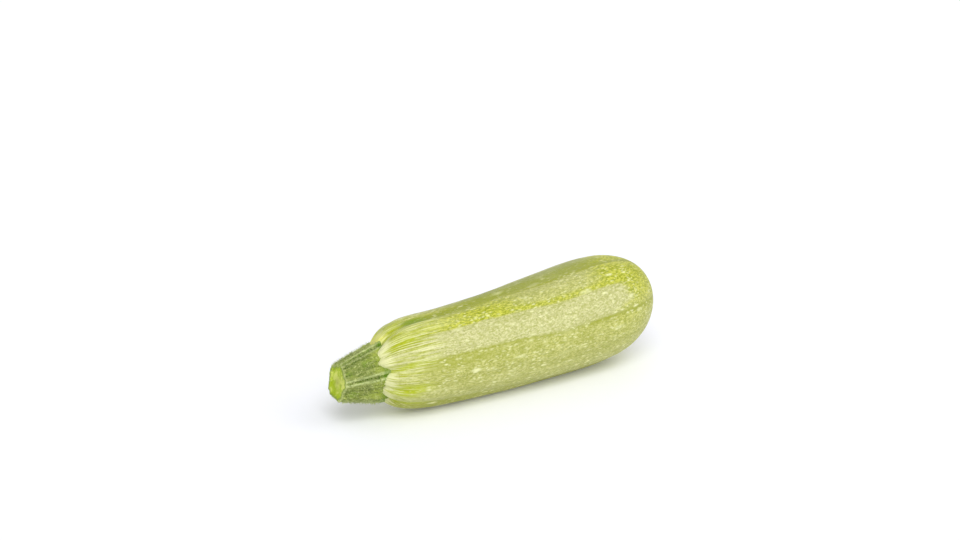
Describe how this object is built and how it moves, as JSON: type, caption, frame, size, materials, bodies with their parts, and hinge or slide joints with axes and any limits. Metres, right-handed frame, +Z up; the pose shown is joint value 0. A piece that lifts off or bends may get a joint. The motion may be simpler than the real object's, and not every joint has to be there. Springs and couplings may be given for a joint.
{
  "type": "courgette",
  "caption": "Pale green courgette lying on its side, with lobed shoulders, a blossom scar and a short ridged stem cut off obliquely. Food for cooking, display or a kitchen scene.",
  "frame": {"origin": "under the middle of the whole length and width, on the surface that it lies on", "axes": "+X along the fruit towards the blossom end, with the stem at -X, and +Z up"},
  "size_m": [0.1766, 0.05, 0.0502],
  "materials": {
    "fruit": "satin skin, pale yellow-green with cream specks",
    "stem": "dull grey-green, ridged and finely hairy"
  },
  "bodies": {
    "root": {"fruit": "fruit", "stem": "stem"}
  },
  "joints": []
}
